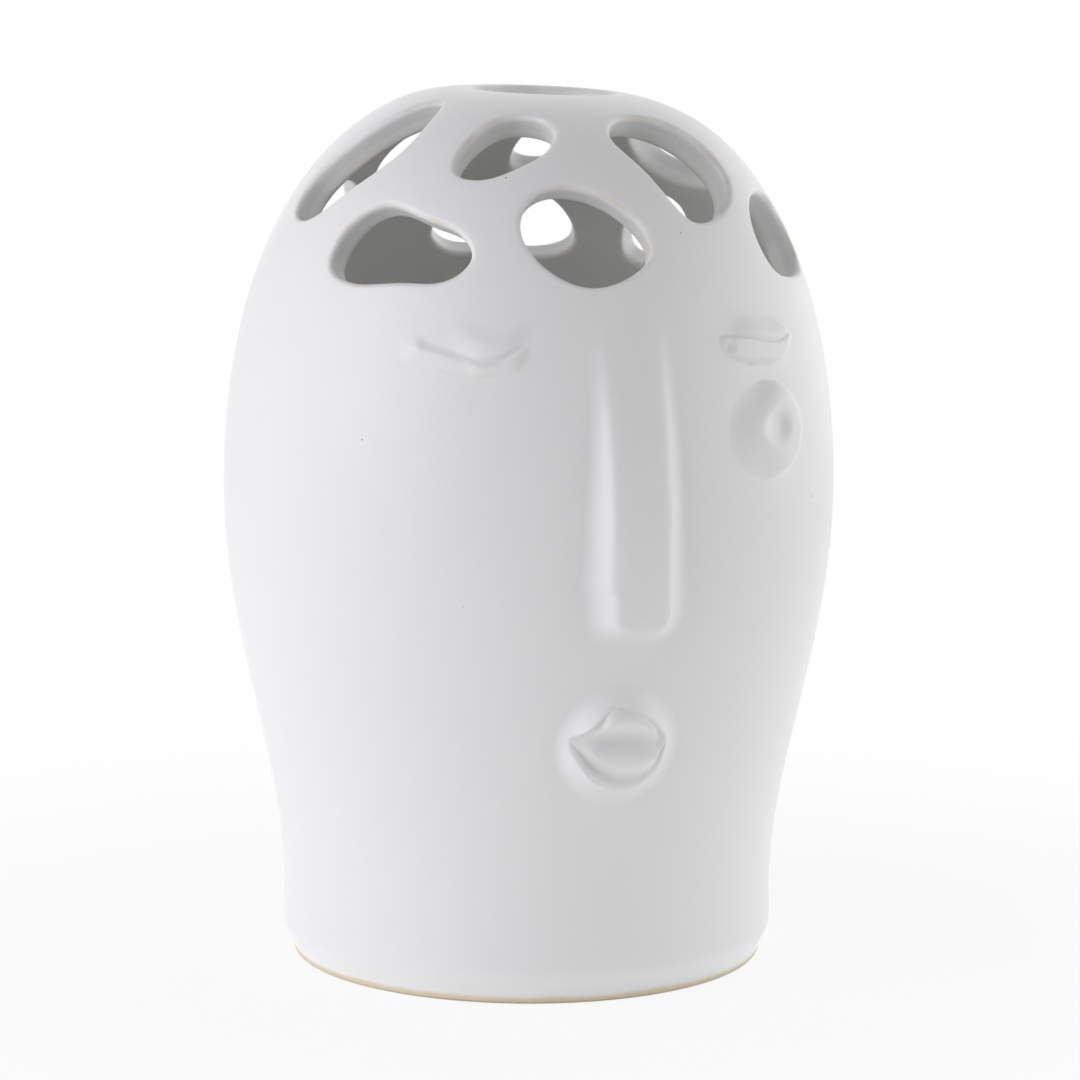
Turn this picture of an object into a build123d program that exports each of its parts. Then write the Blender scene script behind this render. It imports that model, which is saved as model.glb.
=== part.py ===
"""Face vase: a stoneware vessel with a pierced crown and a face in low relief.

Millimetres. The vessel's axis is Z, the origin lies on that axis in the plane that the foot
stands on, and the face looks along -Y. A bearing is an angle in degrees about the axis,
counted from the nose and positive towards +X.
"""

import os
from math import atan2, cos, degrees, radians, sin

from build123d import *

# Outer form: a straight foot, a waist, a belly, and a dome that levels out round the mouth
total_height = 200.5
foot_radius = 57.2
waist_radius = 56.8
waist_height = 15.0
waist_pull = 32.0
belly_radius = 70.4
belly_height = 110.0
belly_pull_down = 37.0
belly_pull_up = 52.4
crown_pull = 33.4
crown_flat = 15.5

# Wall, floor and foot
wall = 6.5
floor_thickness = 7.0
floor_rebate = 2.5
foot_height = 2.5
foot_inset = 2.6
foot_width = 9.0
foot_rounding = 1.2
base_rounding = 3.0

# Stepped seam between the wall and the crown, so that the crown drops on and stays centred
crown_depth = 49.0
seam_lap = 3.0

# Round mouth at the top, cut by hand and so a little to one side of the axis
mouth_radius = 15.5
mouth_offset = 3.5
mouth_rounding = 2.4

# Outlines of the stem holes, drawn flat on the dome in squares of the grid: X to the viewer's right,
# Y up the dome. Each starts on a flat stretch.
grid_size = 1.0
long_leaf = [(7, -10.8), (13.8, 6), (5.5, 19.5), (-2.3, 9.1)]
long_leaf += [(-9.5, -2), (-14, -10), (-11, -18), (-4.5, -19.5)]
broad_leaf = [(3, 14.8), (11.2, 5.5), (13, -4), (3, -14.6)]
broad_leaf += [(-5, -15.7), (-12, -1), (-13.5, 11), (-7.5, 15.6)]
arch = [(3, -8.5), (14.5, -6.8), (18, -1), (14, 4), (5, 6.8), (-4.7, 9.4), (-14, 5), (-17, -6), (-12, -9.2)]
pebble = [(0, 11.7), (8, 7.4), (14.6, -3.2), (8.5, -9.7), (-1, -12), (-9, -8.2), (-14.8, 4.5), (-10, 11.3)]
bean = [(-5, -10.6), (6, -9.8), (13, -3.5), (9.5, 6.5), (-1, 10.6), (-11, 8.3), (-16, 2), (-14.5, -7)]
oval = [(3.3, -7.1), (10, 0.5), (9, 8), (0.5, 10.4), (-6.8, 4.6), (-9.8, -8.8), (-6, -10.3)]

# Some of the holes behind have an outline of a front one, turned over left for right
turned_oval = [(-x, y) for x, y in oval]
turned_pebble = [(-x, y) for x, y in pebble]

# Stem holes round the crown, six in front and six behind: the outline, how far its middle lies below
# the mouth along the dome, and its bearing
stem_holes = [
    (long_leaf, 32.3, -78),
    (arch, 55.3, -49.5),
    (oval, 28.2, -27),
    (pebble, 52.7, -6.5),
    (broad_leaf, 34.6, 27),
    (bean, 55.6, 57),
    (bean, 32, 106),
    (turned_oval, 58.3, 126.5),
    (turned_oval, 31, 153),
    (arch, 57.5, 167.5),
    (broad_leaf, 33, 198),
    (turned_pebble, 54.5, 224.5),
]
hole_rounding = 1.2
clear_bearing = 76.0

# Nose: a slab, nearly flush at the brow and proud at its lower end
brow_rise = 3.5
nose_bottom = 87.0
nose_width = 18.5
nose_corner = 5.5
nose_brow_proud = 0.9
nose_tip_proud = 3.4
nose_rounding = 0.7

# Eyelids: crescents with their tips up, one each side of the nose, below the crown's seam
eye_bearing = 31.0
eye_drop = 6.0
eyelid_width = 26.5
eyelid_tip_rise = 4.2
eyelid_tip_inset = 2.0
eyelid_end_rise = 0.8
eyelid_hollow = 1.4
eyelid_depth = 4.2
eyelid_tip_radius = 1.2
eyelid_proud = 2.0
eyelid_rounding = 1.0

# Button below the right eyelid, with a dimple pressed into it
button_bearing = 30.5
button_gap = 2.05
button_width = 23.0
button_length = 21.5
button_proud = 3.0
button_rounding = 2.0
dimple_radius = 6.0
dimple_depth = 1.6

# Mouth: two lips on a round boss
lips_height = 60.5
boss_radius = 13.8
boss_proud = 3.6
lips_width = 20.5
upper_lip_rise = 6.8
lower_lip_drop = 8.8
lip_proud = 1.6
lip_corner = 1.2
lip_rounding = 0.7
lip_parting = 0.4

# Levels, and how far a cut reaches past the wall and past the whole vessel
floor_top = foot_height + floor_thickness
seam_height = total_height - crown_depth
eye_height = seam_height - eye_drop
nose_top = eye_height + brow_rise
button_height = eye_height - eyelid_depth - button_gap - button_length / 2
cut_reach = 3 * wall
reach = belly_radius + total_height


def outer_line(proud=0.0):
    """The meridian of the outer form, from the foot to the axis, moved outwards by proud."""
    foot = Vector(foot_radius + proud, 0)
    waist = Vector(waist_radius + proud, waist_height)
    belly = Vector(belly_radius + proud, belly_height)
    crown_edge = Vector(crown_flat, total_height + proud)
    with BuildLine() as line:
        Line(foot, waist)
        Bezier(waist, waist + (0, waist_pull), belly - (0, belly_pull_down), belly)
        Bezier(belly, belly + (0, belly_pull_up), crown_edge + (crown_pull + proud, 0), crown_edge)
        Line(crown_edge, (0, total_height + proud))
    return line.line


meridian = outer_line()
dome = meridian.edges().sort_by(Axis.Y)[-2]


def wall_crossing(height):
    """The meridian's edge and point at a height below the top of the dome."""
    level = Axis((0, height, 0), (1, 0, 0))
    crossings = [(edge, point) for edge in meridian.edges() for point in edge.find_intersection_points(level)]
    return max(crossings, key=lambda crossing: crossing[1].X)


def wall_radius(height):
    """Outer radius of the vessel at a height below the top of its dome."""
    return wall_crossing(height)[1].X


def form(proud=0.0):
    """The vessel's outer form as one solid, moved outwards by proud."""
    with BuildPart() as solid:
        with BuildSketch(Plane.XZ):
            with BuildLine():
                add(outer_line(proud))
                Polyline((0, total_height + proud), (0, 0), (foot_radius + proud, 0))
            make_face()
        revolve(axis=Axis.Z)
    return solid.part


def wall_section():
    """Half section of the wall all the way up, between the outer form and its hollow."""
    with BuildSketch() as section:
        with BuildLine():
            add(outer_line())
            Line((0, total_height), (0, total_height - wall))
            add(outer_line(-wall))
            Line((foot_radius - wall, 0), (foot_radius, 0))
        make_face()
    return section.sketch


def face_plane(bearing):
    """Upright plane through the axis that looks out at a bearing: X to the right, Y up."""
    turn = radians(bearing)
    return Plane((0, 0, 0), x_dir=(cos(turn), sin(turn), 0), z_dir=(sin(turn), -cos(turn), 0))


def skin_plane(bearing, edge, point):
    """Plane that touches the outer form at a bearing, at a point on an edge of the meridian."""
    rise = edge.tangent_at(point)
    upright = face_plane(bearing)
    origin = upright.z_dir * point.X + upright.y_dir * point.Y
    normal = upright.z_dir * rise.Y - upright.y_dir * rise.X
    return Plane(origin, x_dir=upright.x_dir, z_dir=normal)


vessel = form()
shell = wall_section()
lap_radius = wall_radius(seam_height + seam_lap) - wall / 2
base_radius = wall_radius(foot_height)
foot_outer = base_radius - foot_inset
floor_radius = min(base_radius, wall_radius(floor_top)) - wall + floor_rebate

# Bare foot ring, turned on the wheel
with BuildPart() as foot_ring:
    with BuildSketch():
        Circle(foot_outer)
        Circle(foot_outer - foot_width, mode=Mode.SUBTRACT)
    extrude(amount=foot_height)
    fillet(foot_ring.edges().group_by(Axis.Z)[0], radius=foot_rounding)

# Floor, a rolled disc that sits on the foot ring inside the wall's rebate
with BuildPart() as floor_slab:
    with BuildSketch(Plane.XY.offset(foot_height)):
        Circle(floor_radius)
    extrude(amount=floor_thickness)

# Thrown wall from the foot to the seam, with a tongue along the inside of its upper edge
with BuildPart() as body_wall:
    with BuildSketch(Plane.XZ):
        add(shell)
        Rectangle(reach, foot_height, align=Align.MIN, mode=Mode.SUBTRACT)
        Rectangle(floor_radius, floor_top, align=Align.MIN, mode=Mode.SUBTRACT)
        with Locations((lap_radius, seam_height), (0, seam_height + seam_lap)):
            Rectangle(reach, reach, align=Align.MIN, mode=Mode.SUBTRACT)
    revolve(axis=Axis.Z)
    base_edge = body_wall.edges().group_by(Axis.Z)[0].sort_by(SortBy.RADIUS)[-1]
    fillet(base_edge, radius=base_rounding)

# Crown, a dome that fits over the wall's tongue and is pierced for stems. Its section stands at
# a bearing that no hole reaches, so that every hole has one unbroken rim.
with BuildPart() as crown:
    with BuildSketch(face_plane(clear_bearing - 90)):
        add(shell)
        Rectangle(reach, seam_height, align=Align.MIN, mode=Mode.SUBTRACT)
        Rectangle(lap_radius, seam_height + seam_lap, align=Align.MIN, mode=Mode.SUBTRACT)
    revolve(axis=Axis.Z)
    with BuildSketch(Plane.XY.offset(total_height)):
        with Locations((mouth_offset, 0)):
            Circle(mouth_radius)
    extrude(amount=cut_reach, both=True, mode=Mode.SUBTRACT)
    mouth_edges = crown.edges(Select.LAST).group_by(Axis.Z)[-1]
    fillet(mouth_edges, radius=mouth_rounding)
    for outline, hole_drop, bearing in stem_holes:
        middle = dome.position_at(dome.length - hole_drop, position_mode=PositionMode.LENGTH)
        hole_plane = skin_plane(bearing, dome, middle)
        with BuildSketch(hole_plane):
            with BuildLine():
                Spline(*[(x * grid_size, y * grid_size) for x, y in outline], periodic=True)
            make_face()
        extrude(amount=cut_reach, both=True, mode=Mode.SUBTRACT)
        rim = crown.edges(Select.LAST).sort_by(Axis(hole_plane.origin, hole_plane.z_dir))[-1]
        fillet(rim, radius=hole_rounding)

# Nose, a slab whose front is the vessel's own curve tipped forward about the brow
with BuildPart() as nose:
    nose_length = nose_top - nose_bottom
    with BuildSketch(face_plane(0)):
        with Locations((0, (nose_top + nose_bottom) / 2)):
            RectangleRounded(nose_width, nose_length, nose_corner)
    extrude(amount=reach)
    tip_angle = degrees(atan2(nose_tip_proud - nose_brow_proud, nose_length))
    brow = Axis((0, -wall_radius(nose_top), nose_top), (1, 0, 0))
    add(vessel.rotate(brow, -tip_angle).translate((0, -nose_brow_proud, 0)), mode=Mode.INTERSECT)
    add(vessel, mode=Mode.SUBTRACT)
    fillet(nose.faces().sort_by(Axis.Y)[0].edges(), radius=nose_rounding)

# Left eyelid, a crescent pressed on square to the wall, with its tips up
with BuildPart() as left_eyelid:
    lid_plane = skin_plane(-eye_bearing, *wall_crossing(eye_height))
    with BuildSketch(lid_plane) as lid_outline:
        with BuildLine():
            tip = Vector(eyelid_width / 2 - eyelid_tip_inset, eyelid_tip_rise)
            end = Vector(eyelid_width / 2, eyelid_end_rise)
            crease = ThreePointArc((-tip.X, tip.Y), (0, eyelid_hollow), tip)
            lashes = ThreePointArc((-end.X, end.Y), (0, -eyelid_depth), end)
            Line(crease @ 0, lashes @ 0)
            Line(crease @ 1, lashes @ 1)
        make_face()
        fillet(lid_outline.vertices(), radius=eyelid_tip_radius)
    extrude(amount=cut_reach, both=True)
    add(form(eyelid_proud), mode=Mode.INTERSECT)
    add(vessel, mode=Mode.SUBTRACT)
    lid_front = left_eyelid.faces().sort_by(Axis(lid_plane.origin, lid_plane.z_dir))[-1]
    fillet(lid_front.edges(), radius=eyelid_rounding)

# Right eyelid, the left one's mirror image
with BuildPart() as right_eyelid:
    mirror(left_eyelid.part, about=Plane.YZ)

# Button eye below the right eyelid
with BuildPart() as right_eye:
    button_plane = skin_plane(button_bearing, *wall_crossing(button_height))
    with BuildSketch(button_plane):
        Ellipse(button_width / 2, button_length / 2)
    extrude(amount=cut_reach, both=True)
    add(form(button_proud), mode=Mode.INTERSECT)
    add(vessel, mode=Mode.SUBTRACT)
    button_front = right_eye.faces().sort_by(Axis(button_plane.origin, button_plane.z_dir))[-1]
    fillet(button_front.edges(), radius=button_rounding)
    with Locations(button_plane.offset(button_proud + dimple_radius - dimple_depth).origin):
        Sphere(dimple_radius, mode=Mode.SUBTRACT)

# Boss, a round cap cut from a ball, that carries the lips
boss_ball = (boss_radius**2 + boss_proud**2) / (2 * boss_proud)
lips_plane = skin_plane(0, *wall_crossing(lips_height))
boss_centre = lips_plane.offset(boss_proud - boss_ball).origin
with BuildPart() as mouth_boss:
    with BuildSketch(lips_plane):
        Circle(boss_radius)
    extrude(amount=boss_ball, both=True)
    with Locations(boss_centre):
        Sphere(boss_ball, mode=Mode.INTERSECT)
    add(vessel, mode=Mode.SUBTRACT)


def lip(rise):
    """A lip on the boss, from the parting line up by rise, or down where rise is negative."""
    parting_height = lip_parting / 2 if rise > 0 else -lip_parting / 2
    with BuildPart() as piece:
        with BuildSketch(lips_plane) as lip_outline:
            with BuildLine():
                parting = Line((-lips_width / 2, parting_height), (lips_width / 2, parting_height))
                ThreePointArc(parting @ 0, (0, rise), parting @ 1)
            make_face()
            fillet(lip_outline.vertices(), radius=lip_corner)
        extrude(amount=boss_ball, both=True)
        with Locations(boss_centre):
            Sphere(boss_ball + lip_proud, mode=Mode.INTERSECT)
            Sphere(boss_ball, mode=Mode.SUBTRACT)
        add(vessel, mode=Mode.SUBTRACT)
        lip_front = piece.faces().sort_by(Axis.Y)[0]
        fillet(lip_front.edges(), radius=lip_rounding)
    return piece


upper_lip = lip(upper_lip_rise)
lower_lip = lip(-lower_lip_drop)

pieces = {
    "foot_ring": foot_ring,
    "floor_slab": floor_slab,
    "body_wall": body_wall,
    "crown": crown,
    "nose": nose,
    "left_eyelid": left_eyelid,
    "right_eyelid": right_eyelid,
    "right_eye": right_eye,
    "mouth_boss": mouth_boss,
    "upper_lip": upper_lip,
    "lower_lip": lower_lip,
}
os.makedirs("parts", exist_ok=True)
for name, piece in pieces.items():
    piece.part.label = name
    export_step(piece.part, f"parts/{name}.step")
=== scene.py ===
import math

import bpy
import numpy as np
from mathutils import Matrix, Vector
from mathutils.geometry import delaunay_2d_cdt


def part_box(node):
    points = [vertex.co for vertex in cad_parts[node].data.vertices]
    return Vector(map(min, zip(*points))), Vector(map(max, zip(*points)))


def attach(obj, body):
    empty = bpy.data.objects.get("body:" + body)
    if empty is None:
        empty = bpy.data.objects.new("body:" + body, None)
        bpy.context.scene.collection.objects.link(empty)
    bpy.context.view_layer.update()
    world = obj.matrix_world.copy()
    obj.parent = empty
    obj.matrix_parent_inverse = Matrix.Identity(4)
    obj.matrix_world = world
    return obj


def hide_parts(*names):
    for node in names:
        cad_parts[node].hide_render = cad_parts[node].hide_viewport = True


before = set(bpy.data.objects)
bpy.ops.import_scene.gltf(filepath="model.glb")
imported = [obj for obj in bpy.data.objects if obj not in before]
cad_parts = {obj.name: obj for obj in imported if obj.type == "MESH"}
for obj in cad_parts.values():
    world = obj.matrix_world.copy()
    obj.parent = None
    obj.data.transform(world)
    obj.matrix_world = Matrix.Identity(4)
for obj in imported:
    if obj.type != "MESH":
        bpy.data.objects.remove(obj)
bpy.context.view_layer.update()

# White glaze
# A satin white glaze fired over the whole vase except its foot. It lies a little unevenly, breaks to a
# warm buff where it thins on sharp edges, and holds a few tiny specks of iron from the clay. On the
# inside skins it is painted lighter and warmer as painted light, and along the lips' parting and groove
# and the left eyelid's crease it is painted grey as painted shade.
glaze_white = (0.880, 0.880, 0.880, 1.0)
glaze_shade = (0.850, 0.850, 0.855, 1.0)
glaze_buff = (0.66, 0.58, 0.44, 1.0)
# Painted shade: a grey painted into creases of the face where shade falls.
painted_shade_grey = (0.66, 0.66, 0.67, 1.0)
# Painted light: a lighter, warmer glaze colour painted on the inside of the vase and on its floor, standing
# in for more light in there.
painted_inside_light = (0.935, 0.930, 0.905, 1.0)
iron_speck = (0.20, 0.17, 0.14, 1.0)

glaze = bpy.data.materials.new("white_glaze")
glaze.use_nodes = True
nodes = glaze.node_tree.nodes
links = glaze.node_tree.links
glaze_shader = nodes["Principled BSDF"]
glaze_shader.inputs["IOR"].default_value = 1.5
place = nodes.new("ShaderNodeTexCoord")

pooling = nodes.new("ShaderNodeTexNoise")
pooling.inputs["Scale"].default_value = 28.0
pooling.inputs["Detail"].default_value = 3.0
links.new(place.outputs["Object"], pooling.inputs["Vector"])
glaze_body = nodes.new("ShaderNodeMix")
glaze_body.data_type = "RGBA"
glaze_body.inputs["A"].default_value = glaze_shade
glaze_body.inputs["B"].default_value = glaze_white
links.new(pooling.outputs["Fac"], glaze_body.inputs["Factor"])
# Mask of the inside skins, where the painted light is laid over the glaze.
inner_skin = nodes.new("ShaderNodeAttribute")
inner_skin.attribute_name = "lit_inside"
inside_lightened = nodes.new("ShaderNodeMix")
inside_lightened.data_type = "RGBA"
inside_lightened.inputs["B"].default_value = painted_inside_light
links.new(inner_skin.outputs["Fac"], inside_lightened.inputs["Factor"])
links.new(glaze_body.outputs["Result"], inside_lightened.inputs["A"])

specks = nodes.new("ShaderNodeTexVoronoi")
specks.inputs["Scale"].default_value = 95.0
specks.inputs["Randomness"].default_value = 1.0
links.new(place.outputs["Object"], specks.inputs["Vector"])
speck_size = nodes.new("ShaderNodeMapRange")
speck_size.inputs["From Min"].default_value = 0.012
speck_size.inputs["From Max"].default_value = 0.026
speck_size.inputs["To Min"].default_value = 0.85
speck_size.inputs["To Max"].default_value = 0.0
links.new(specks.outputs["Distance"], speck_size.inputs["Value"])
speck_choice = nodes.new("ShaderNodeSeparateColor")
links.new(specks.outputs["Color"], speck_choice.inputs["Color"])
speck_rare = nodes.new("ShaderNodeMath")
speck_rare.operation = "GREATER_THAN"
speck_rare.inputs[1].default_value = 0.35
links.new(speck_choice.outputs["Red"], speck_rare.inputs[0])
speck_shown = nodes.new("ShaderNodeMath")
speck_shown.operation = "MULTIPLY"
links.new(speck_size.outputs["Result"], speck_shown.inputs[0])
links.new(speck_rare.outputs["Value"], speck_shown.inputs[1])
speckled = nodes.new("ShaderNodeMix")
speckled.data_type = "RGBA"
speckled.inputs["B"].default_value = iron_speck
links.new(speck_shown.outputs["Value"], speckled.inputs["Factor"])
links.new(inside_lightened.outputs["Result"], speckled.inputs["A"])

# The marks on the glaze: positive values are real buff breaks on edges, negative values are painted shade
# in creases.
glaze_marks = nodes.new("ShaderNodeAttribute")
glaze_marks.attribute_name = "buff_and_painted_shade"
thinning = nodes.new("ShaderNodeTexNoise")
thinning.inputs["Scale"].default_value = 130.0
thinning.inputs["Detail"].default_value = 2.0
links.new(place.outputs["Object"], thinning.inputs["Vector"])
thin_patch = nodes.new("ShaderNodeMapRange")
thin_patch.inputs["From Min"].default_value = 0.38
thin_patch.inputs["From Max"].default_value = 0.68
links.new(thinning.outputs["Fac"], thin_patch.inputs["Value"])
worn_edge = nodes.new("ShaderNodeMath")
worn_edge.operation = "MAXIMUM"
worn_edge.inputs[1].default_value = 0.0
links.new(glaze_marks.outputs["Fac"], worn_edge.inputs[0])
broken = nodes.new("ShaderNodeMath")
broken.operation = "MULTIPLY"
links.new(worn_edge.outputs["Value"], broken.inputs[0])
links.new(thin_patch.outputs["Result"], broken.inputs[1])
# Painted shade: the negative marks darken the glaze towards the painted shade grey.
painted_shade_amount = nodes.new("ShaderNodeMapRange")
painted_shade_amount.inputs["From Min"].default_value = 0.0
painted_shade_amount.inputs["From Max"].default_value = -1.0
links.new(glaze_marks.outputs["Fac"], painted_shade_amount.inputs["Value"])
painted_shade_mix = nodes.new("ShaderNodeMix")
painted_shade_mix.data_type = "RGBA"
painted_shade_mix.inputs["B"].default_value = painted_shade_grey
links.new(painted_shade_amount.outputs["Result"], painted_shade_mix.inputs["Factor"])
links.new(speckled.outputs["Result"], painted_shade_mix.inputs["A"])
glaze_colour = nodes.new("ShaderNodeMix")
glaze_colour.data_type = "RGBA"
glaze_colour.inputs["B"].default_value = glaze_buff
links.new(broken.outputs["Value"], glaze_colour.inputs["Factor"])
links.new(painted_shade_mix.outputs["Result"], glaze_colour.inputs["A"])
links.new(glaze_colour.outputs["Result"], glaze_shader.inputs["Base Color"])

satin = nodes.new("ShaderNodeMapRange")
satin.inputs["To Min"].default_value = 0.40
satin.inputs["To Max"].default_value = 0.50
links.new(pooling.outputs["Fac"], satin.inputs["Value"])
links.new(satin.outputs["Result"], glaze_shader.inputs["Roughness"])

orange_peel = nodes.new("ShaderNodeTexNoise")
orange_peel.inputs["Scale"].default_value = 420.0
orange_peel.inputs["Detail"].default_value = 2.0
links.new(place.outputs["Object"], orange_peel.inputs["Vector"])
glaze_skin = nodes.new("ShaderNodeBump")
glaze_skin.inputs["Strength"].default_value = 0.10
glaze_skin.inputs["Distance"].default_value = 0.0004
links.new(orange_peel.outputs["Fac"], glaze_skin.inputs["Height"])
links.new(glaze_skin.outputs["Normal"], glaze_shader.inputs["Normal"])

# Thrown wall
# The stoneware wall, thrown from the foot to the seam under the crown, with faint finger rings left on
# it. It is turned as one skin: down the outside, under the base, round the floor's rebate, up the inside.
mm = 0.001
wall_low, wall_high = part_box("body_wall")
crown_low, crown_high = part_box("crown")
floor_low, floor_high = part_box("floor_slab")
foot_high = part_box("foot_ring")[1]
wall = 6.5 * mm
total_height = crown_high.z
seam_height = crown_low.z
base_height = wall_low.z
base_rounding = 6.0 * mm
foot_lap = 0.5 * mm
foot_outer = foot_high.x
floor_radius = floor_high.x
foot_radius = 57.2 * mm
waist_radius = 56.8 * mm
waist_height = 15.0 * mm
waist_pull = 32.0 * mm
belly_radius = wall_high.x
belly_height = 110.0 * mm
belly_pull_down = 37.0 * mm
belly_pull_up = 52.4 * mm
crown_pull = 33.4 * mm
crown_flat = 15.5 * mm
ring_depth = 0.022 * mm
ring_top = 125.0
ring_top_fade = 30.0
ring_bottom = 8.0
ring_bottom_fade = 6.0
around = 240
lower_points = 400
upper_points = 900
outside_step = 1.6 * mm
inside_step = 3.0 * mm
rounding_steps = 6
merge_distance = 0.01 * mm


def pulled_curve(start, start_pull, end_pull, end, count):
    """A curve between two points (radius, height), drawn out by a pull at each end."""
    share = np.linspace(0.0, 1.0, count)[:, None]
    rest = 1.0 - share
    start, start_pull, end_pull, end = (np.array(p) for p in (start, start_pull, end_pull, end))
    leaving = rest**3 * start + 3 * rest**2 * share * start_pull
    return leaving + 3 * rest * share**2 * end_pull + share**3 * end


def meridian(proud):
    """Points (radius, height) up the outer form, moved outwards by proud, from the foot to the axis."""
    waist = (waist_radius + proud, waist_height)
    belly = (belly_radius + proud, belly_height)
    crest = (crown_flat, total_height + proud)
    waist_end = (waist[0], waist_height + waist_pull)
    belly_start = (belly[0], belly_height - belly_pull_down)
    belly_end = (belly[0], belly_height + belly_pull_up)
    crest_start = (crest[0] + crown_pull + proud, crest[1])
    lower = pulled_curve(waist, waist_end, belly_start, belly, lower_points)
    upper = pulled_curve(belly, belly_end, crest_start, crest, upper_points)
    return np.vstack([[(foot_radius + proud, 0.0)], lower, upper[1:], [(0.0, crest[1])]])


outer_line = meridian(0.0)
inner_line = meridian(-wall)


def radius_at(line, height):
    """Radius of a form at heights below the top of its dome, and nothing above it."""
    return np.interp(height, line[:-1, 1], line[:-1, 0], right=0.0)


def finger_rings(height):
    """How far the faint rings that the thrower's fingers left stand out of the wall."""
    z = height / mm
    swell = np.sin(z / 1.27 + 2.0 * np.sin(z / 9.1)) * (0.6 + 0.4 * np.sin(z / 5.7 + 1.0))
    fade_up = np.clip((ring_top - z) / ring_top_fade, 0.0, 1.0)
    fade_down = np.clip((z - ring_bottom) / ring_bottom_fade, 0.0, 1.0)
    return ring_depth * swell * fade_up * fade_down


def wall_radius(height):
    """Radius of the outer wall, with its finger rings."""
    return radius_at(outer_line, height) + finger_rings(height)


def turn_on_wheel(name, chain):
    """Turns a chain of points (radius, height) about the vessel's axis."""
    mesh = bpy.data.meshes.new(name)
    mesh.from_pydata([(r, 0.0, z) for r, z in chain], [(i, i + 1) for i in range(len(chain) - 1)], [])
    piece = bpy.data.objects.new(name, mesh)
    bpy.context.collection.objects.link(piece)
    bpy.ops.object.select_all(action="DESELECT")
    piece.select_set(True)
    bpy.context.view_layer.objects.active = piece
    bpy.ops.object.mode_set(mode="EDIT")
    bpy.ops.mesh.select_all(action="SELECT")
    bpy.ops.mesh.spin(steps=around, angle=math.tau, center=(0, 0, 0), axis=(0, 0, 1))
    bpy.ops.mesh.select_all(action="SELECT")
    bpy.ops.mesh.remove_doubles(threshold=merge_distance)
    bpy.ops.mesh.normals_make_consistent(inside=False)
    bpy.ops.object.mode_set(mode="OBJECT")
    bpy.ops.object.shade_smooth()
    return piece


def stepped(start, end, step):
    """Heights from start to end, about a step apart."""
    return np.linspace(start, end, max(2, round(abs(end - start) / step) + 1))


def quarter_round(corner, first, last, steps):
    """Points on a quarter round that starts at first, ends at last and cuts off a corner."""
    turn = np.linspace(0.0, math.pi / 2, steps + 1)
    corner, first, last = (np.array(p) for p in (corner, first, last))
    first_arm = first - corner
    last_arm = last - corner
    return [corner + first_arm * (1 - math.sin(a)) + last_arm * (1 - math.cos(a)) for a in turn]


outside = stepped(seam_height, base_height + base_rounding, outside_step)
inside = stepped(floor_high.z, seam_height, inside_step)
base_radius = float(wall_radius(base_height + base_rounding))
base_round = pulled_curve(
    (base_radius, base_height + base_rounding),
    (base_radius, base_height + 0.5 * base_rounding),
    (foot_outer + 0.3 * mm, base_height + 1.6 * mm),
    (foot_outer + 0.1 * mm, base_height - foot_lap),
    2 * rounding_steps,
)
wall_chain = [(wall_radius(z), z) for z in outside[:-1]] + [tuple(p) for p in base_round]
wall_chain += [(foot_outer - foot_lap, base_height), (floor_radius, base_height)]
wall_chain += [(floor_radius, floor_high.z)]
wall_chain += [(radius_at(inner_line, z), z) for z in inside]
vessel = turn_on_wheel("glazed_vessel", [(float(r), float(z)) for r, z in wall_chain])

# Pierced crown
# A dome luted on the wall and pierced by hand while leather hard: a round mouth at the top and stem
# holes in two staggered rows, their edges sponged round. The seam is smoothed over and glazed.
mouth_radius = 15.5 * mm
mouth_offset = 3.5 * mm
mouth_rounding = 2.4 * mm
mouth_tilt = math.tan(math.radians(1.45))
mouth_low_side = np.array([math.cos(math.radians(-19.5)), math.sin(math.radians(-19.5))])
mouth_tilt_reach = 46.0 * mm
mouth_tilt_fade = 26.0 * mm
rim_rounding = 1.6 * mm
rim_settle = 0.6 * mm
rim_wear = 0.75
mouth_wear = 0.4
inner_rim_rounding = 1.1 * mm
rim_points = 132
rim_steps = 7
throat_steps = 5
span_points = 60
web_cell = 1.9 * mm
web_clear = 0.6 * web_cell
drop_reach = 16.0 * mm
drop_halvings = 45

long_leaf = [(7, -10.8), (13.8, 6), (5.5, 19.5), (-2.3, 9.1)]
long_leaf += [(-9.5, -2), (-14, -10), (-11, -18), (-4.5, -19.5)]
broad_leaf = [(3, 14.8), (11.2, 5.5), (13, -4), (3, -14.6)]
broad_leaf += [(-5, -15.7), (-12, -1), (-13.5, 11), (-7.5, 15.6)]
arch = [(3, -9.1), (14.5, -6.8), (18, -1), (14, 4), (5, 6.8), (-4.7, 9.4), (-14, 5), (-17, -6), (-12, -9.2)]
pebble = [(0, 11.7), (8, 7.4), (14.6, -3.2), (8.5, -9.7), (-1, -12), (-9, -8.2), (-14.8, 4.5), (-10, 11.3)]
bean = [(-5, -10.6), (6, -9.8), (13, -3.5), (9.5, 6.5), (-1, 10.6), (-11, 8.3), (-16, 2), (-14.5, -7)]
oval = [(3.3, -7.1), (10, 0.5), (9, 8), (0.5, 10.4), (-6.8, 4.6), (-9.8, -8.8), (-6, -10.3)]
turned_oval = [(-x, y) for x, y in oval]
turned_pebble = [(-x, y) for x, y in pebble]
stem_holes = [
    (long_leaf, 32.3, -78),
    (arch, 55.3, -49.5),
    (oval, 28.2, -27),
    (pebble, 52.7, -6.5),
    (broad_leaf, 34.6, 27),
    (bean, 55.6, 57),
    (bean, 32, 106),
    (turned_oval, 58.3, 126.5),
    (turned_oval, 31, 153),
    (arch, 57.5, 167.5),
    (broad_leaf, 33, 198),
    (turned_pebble, 54.5, 224.5),
]


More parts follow.
